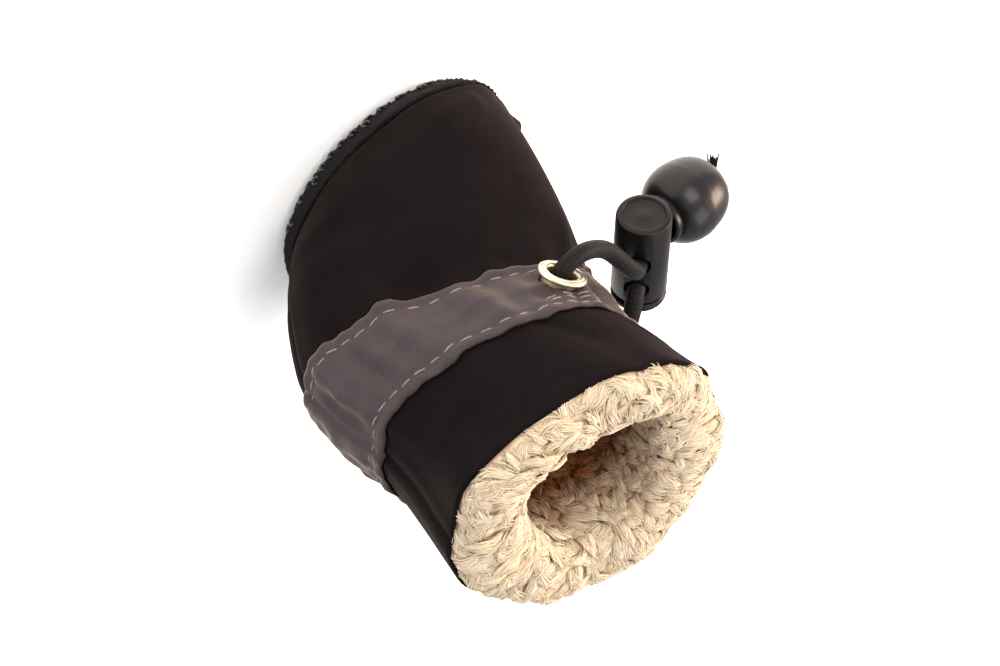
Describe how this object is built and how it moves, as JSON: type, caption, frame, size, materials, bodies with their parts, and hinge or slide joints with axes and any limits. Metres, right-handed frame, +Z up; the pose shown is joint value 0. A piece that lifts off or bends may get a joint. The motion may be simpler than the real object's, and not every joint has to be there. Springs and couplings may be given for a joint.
{
  "type": "dog shoe",
  "caption": "Soft winter boot for a small dog's paw, fleece lined, with a flat knit sole, a reflective drawcord band, eyelets, a cord lock and a cord end bead.",
  "frame": {"origin": "on the floor under the middle of the boot's bounding box, drawcord, lock and bead left out", "axes": "+X to the toe, +Y to the boot's left, +Z up; the boot stands on its sole at z = 0"},
  "size_m": [0.0896, 0.0474, 0.0768],
  "materials": {
    "knit_sole": "matt ribbed knit with small glossy rubber drops",
    "fleece": "deep curly cream pile",
    "shell_cloth": "smooth matt black soft-shell cloth",
    "reflective_cloth": "grey retroreflective tape cloth, faint satin sheen",
    "eyelet_metal": "polished pale nickel",
    "cord": "braided elastic cord",
    "lock_plastic": "matt black moulded plastic",
    "bead_plastic": "glossy black moulded plastic"
  },
  "bodies": {
    "root": {"outsole": "knit_sole", "insole": "fleece", "upper": "shell_cloth", "reflective_band": "reflective_cloth", "eyelet_left": "eyelet_metal", "eyelet_right": "eyelet_metal", "drawcord_left": "cord", "drawcord_right": "cord", "cord_lock_barrel": "lock_plastic", "cord_lock_plunger": "lock_plastic", "cord_end_bead": "bead_plastic", "drawcord_knot": "cord"}
  },
  "joints": []
}
